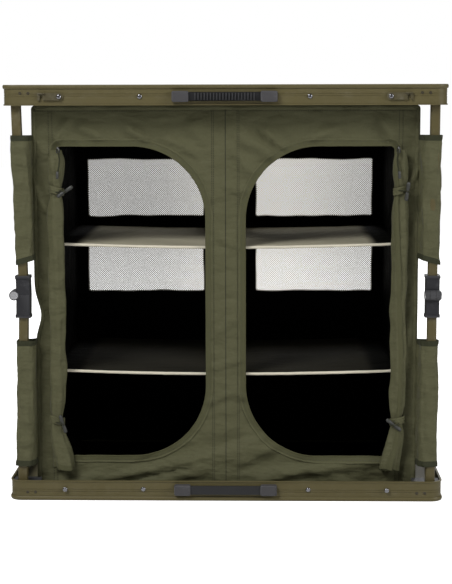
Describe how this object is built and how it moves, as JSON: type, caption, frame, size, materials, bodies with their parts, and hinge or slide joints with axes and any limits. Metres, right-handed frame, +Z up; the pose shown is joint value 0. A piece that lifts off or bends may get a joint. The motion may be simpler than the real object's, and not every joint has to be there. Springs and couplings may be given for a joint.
{
  "type": "collapsible camping cupboard",
  "caption": "Collapsible camping storage box: fabric cabinet with door openings, shelves and mesh windows, hung between two metal frames on folding legs; closes to a flat case.",
  "frame": {"origin": "on the ground, under the middle of the frames", "axes": "+X to the right along the front, +Y to the back, +Z up"},
  "size_m": [0.606, 0.3765, 0.576],
  "materials": {
    "rail_paint": "satin",
    "board_paint": "satin",
    "block_plastic": "satin",
    "pin_steel": "satin",
    "rivet_paint": "satin",
    "screw_chrome": "polished",
    "latch_paint": "satin",
    "handle_cap_plastic": "satin",
    "handle_strap_rubber": "matte",
    "webbing": "matte",
    "lining_cloth": "matte",
    "shelf_board": "matte",
    "outer_cloth": "matte",
    "window_mesh": "matte",
    "zip_tape": "matte",
    "zip_metal": "satin",
    "tube_paint": "satin",
    "knuckle_plastic": "satin"
  },
  "bodies": {
    "base": {"base_rail": "rail_paint", "base_panel": "board_paint", "base_corner_blocks": "block_plastic", "base_leg_pins": "pin_steel", "base_rivets": "rivet_paint", "base_screws": "screw_chrome", "base_handle_caps": "handle_cap_plastic", "base_handle_strap": "handle_strap_rubber", "base_corner_ties": "webbing", "cabinet_walls": "lining_cloth", "cabinet_front": "outer_cloth", "cabinet_back": "lining_cloth", "window_meshes": "window_mesh", "door_zips": "zip_tape", "zip_sliders": "zip_metal", "door_ties": "webbing", "left_door_roll": "outer_cloth", "right_door_roll": "outer_cloth"},
    "top": {"top_rail": "rail_paint", "top_panel": "board_paint", "top_corner_blocks": "block_plastic", "top_leg_pins": "pin_steel", "top_rivets": "rivet_paint", "top_screws": "screw_chrome", "latch_screws": "screw_chrome", "top_handle_caps": "handle_cap_plastic", "top_handle_strap": "handle_strap_rubber", "top_corner_ties": "webbing"},
    "left_latch": {"left_latch": "latch_paint"},
    "right_latch": {"right_latch": "latch_paint"},
    "lower_shelf": {"lower_shelf": "shelf_board"},
    "upper_shelf": {"upper_shelf": "shelf_board"},
    "front_left_lower_leg": {"front_left_lower_tube": "tube_paint", "front_left_lower_knuckle": "knuckle_plastic", "front_left_knee_pin": "pin_steel", "front_left_lower_sleeve": "outer_cloth"},
    "front_left_upper_leg": {"front_left_upper_tube": "tube_paint", "front_left_upper_knuckle": "knuckle_plastic", "front_left_upper_sleeve": "outer_cloth"},
    "front_right_lower_leg": {"front_right_lower_tube": "tube_paint", "front_right_lower_knuckle": "knuckle_plastic", "front_right_knee_pin": "pin_steel", "front_right_lower_sleeve": "outer_cloth"},
    "front_right_upper_leg": {"front_right_upper_tube": "tube_paint", "front_right_upper_knuckle": "knuckle_plastic", "front_right_upper_sleeve": "outer_cloth"},
    "rear_right_lower_leg": {"rear_right_lower_tube": "tube_paint", "rear_right_lower_knuckle": "knuckle_plastic", "rear_right_knee_pin": "pin_steel", "rear_right_lower_sleeve": "outer_cloth"},
    "rear_right_upper_leg": {"rear_right_upper_tube": "tube_paint", "rear_right_upper_knuckle": "knuckle_plastic", "rear_right_upper_sleeve": "outer_cloth"},
    "rear_left_lower_leg": {"rear_left_lower_tube": "tube_paint", "rear_left_lower_knuckle": "knuckle_plastic", "rear_left_knee_pin": "pin_steel", "rear_left_lower_sleeve": "outer_cloth"},
    "rear_left_upper_leg": {"rear_left_upper_tube": "tube_paint", "rear_left_upper_knuckle": "knuckle_plastic", "rear_left_upper_sleeve": "outer_cloth"}
  },
  "joints": [
    {"name": "front_left_foot", "type": "hinge", "parent": "base", "child": "front_left_lower_leg", "pos_m": [-0.2855, -0.167, 0.0157], "axis": [0, 1, 0], "range_deg": [0, 88.63], "deforming": ["front_left_lower_sleeve", "cabinet_walls", "cabinet_front", "cabinet_back", "window_meshes", "door_zips", "zip_sliders", "door_ties", "left_door_roll", "right_door_roll", "base_corner_ties", "top_corner_ties"]},
    {"name": "front_left_knee", "type": "hinge", "parent": "front_left_lower_leg", "child": "front_left_upper_leg", "pos_m": [-0.2914, -0.167, 0.288], "axis": [0, 1, 0], "range_deg": [-177.26, 0], "deforming": ["front_left_upper_sleeve"]},
    {"name": "front_left_head", "type": "hinge", "parent": "front_left_upper_leg", "child": "top", "pos_m": [-0.2855, -0.167, 0.5603], "axis": [0, 1, 0], "range_deg": [0, 88.63]},
    {"name": "front_right_foot", "type": "hinge", "parent": "base", "child": "front_right_lower_leg", "pos_m": [0.2855, -0.167, 0.0157], "axis": [-1, 0, 0], "range_deg": [0, 88.63], "deforming": ["front_right_lower_sleeve"]},
    {"name": "front_right_knee", "type": "hinge", "parent": "front_right_lower_leg", "child": "front_right_upper_leg", "pos_m": [0.2855, -0.1729, 0.288], "axis": [-1, 0, 0], "range_deg": [-177.26, 0], "deforming": ["front_right_upper_sleeve"]},
    {"name": "rear_right_foot", "type": "hinge", "parent": "base", "child": "rear_right_lower_leg", "pos_m": [0.2855, 0.167, 0.0157], "axis": [0, -1, 0], "range_deg": [0, 88.63], "deforming": ["rear_right_lower_sleeve"]},
    {"name": "rear_right_knee", "type": "hinge", "parent": "rear_right_lower_leg", "child": "rear_right_upper_leg", "pos_m": [0.2914, 0.167, 0.288], "axis": [0, -1, 0], "range_deg": [-177.26, 0], "deforming": ["rear_right_upper_sleeve"]},
    {"name": "rear_left_foot", "type": "hinge", "parent": "base", "child": "rear_left_lower_leg", "pos_m": [-0.2855, 0.167, 0.0157], "axis": [1, 0, 0], "range_deg": [0, 88.63], "deforming": ["rear_left_lower_sleeve"]},
    {"name": "rear_left_knee", "type": "hinge", "parent": "rear_left_lower_leg", "child": "rear_left_upper_leg", "pos_m": [-0.2855, 0.1729, 0.288], "axis": [1, 0, 0], "range_deg": [-177.26, 0], "deforming": ["rear_left_upper_sleeve"]},
    {"name": "left_latch_swing", "type": "hinge", "parent": "top", "child": "left_latch", "pos_m": [-0.224, -0.185, 0.56], "axis": [0, -1, 0], "range_deg": [0, 90]},
    {"name": "right_latch_swing", "type": "hinge", "parent": "top", "child": "right_latch", "pos_m": [0.224, -0.185, 0.56], "axis": [0, 1, 0], "range_deg": [0, 90]},
    {"name": "lower_shelf_drop", "type": "slide", "parent": "base", "child": "lower_shelf", "axis": [0, 0, -1], "range_m": [0, 0.1625]},
    {"name": "upper_shelf_lift", "type": "slide", "parent": "top", "child": "upper_shelf", "axis": [0, 0, 1], "range_m": [0, 0.1905]}
  ],
  "couplings": [
    {"joint": "front_left_knee", "follows": "front_left_foot", "ratio": -2},
    {"joint": "front_left_head", "follows": "front_left_foot", "ratio": 1},
    {"joint": "front_right_foot", "follows": "front_left_foot", "ratio": 1},
    {"joint": "front_right_knee", "follows": "front_left_foot", "ratio": -2},
    {"joint": "rear_right_foot", "follows": "front_left_foot", "ratio": 1},
    {"joint": "rear_right_knee", "follows": "front_left_foot", "ratio": -2},
    {"joint": "rear_left_foot", "follows": "front_left_foot", "ratio": 1},
    {"joint": "rear_left_knee", "follows": "front_left_foot", "ratio": -2},
    {"joint": "lower_shelf_drop", "follows": "front_left_foot", "m_per_rad": 0.10504},
    {"joint": "upper_shelf_lift", "follows": "front_left_foot", "m_per_rad": 0.12314}
  ]
}
